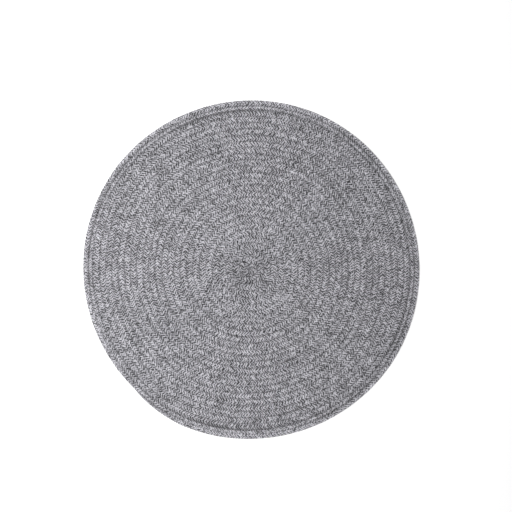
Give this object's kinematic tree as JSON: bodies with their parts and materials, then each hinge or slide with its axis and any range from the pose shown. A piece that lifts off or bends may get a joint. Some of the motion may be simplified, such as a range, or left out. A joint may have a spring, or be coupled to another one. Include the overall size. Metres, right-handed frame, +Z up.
{
  "type": "fabric placemat",
  "caption": "Round fabric placemat of one braided cord wound in a flat spiral, to lie under a plate and shield the table.",
  "frame": {"origin": "middle of the mat's outline, on its underside", "axes": "+Z up from the table, +X to the right and +Y to the far side, with the cord's end at the near left"},
  "size_m": [0.3798, 0.3824, 0.0045],
  "materials": {
    "heather_grey_braid": "matt heathered cotton braid in light and dark grey"
  },
  "bodies": {
    "root": {"coiled_braid_mat": "heather_grey_braid"}
  },
  "joints": []
}
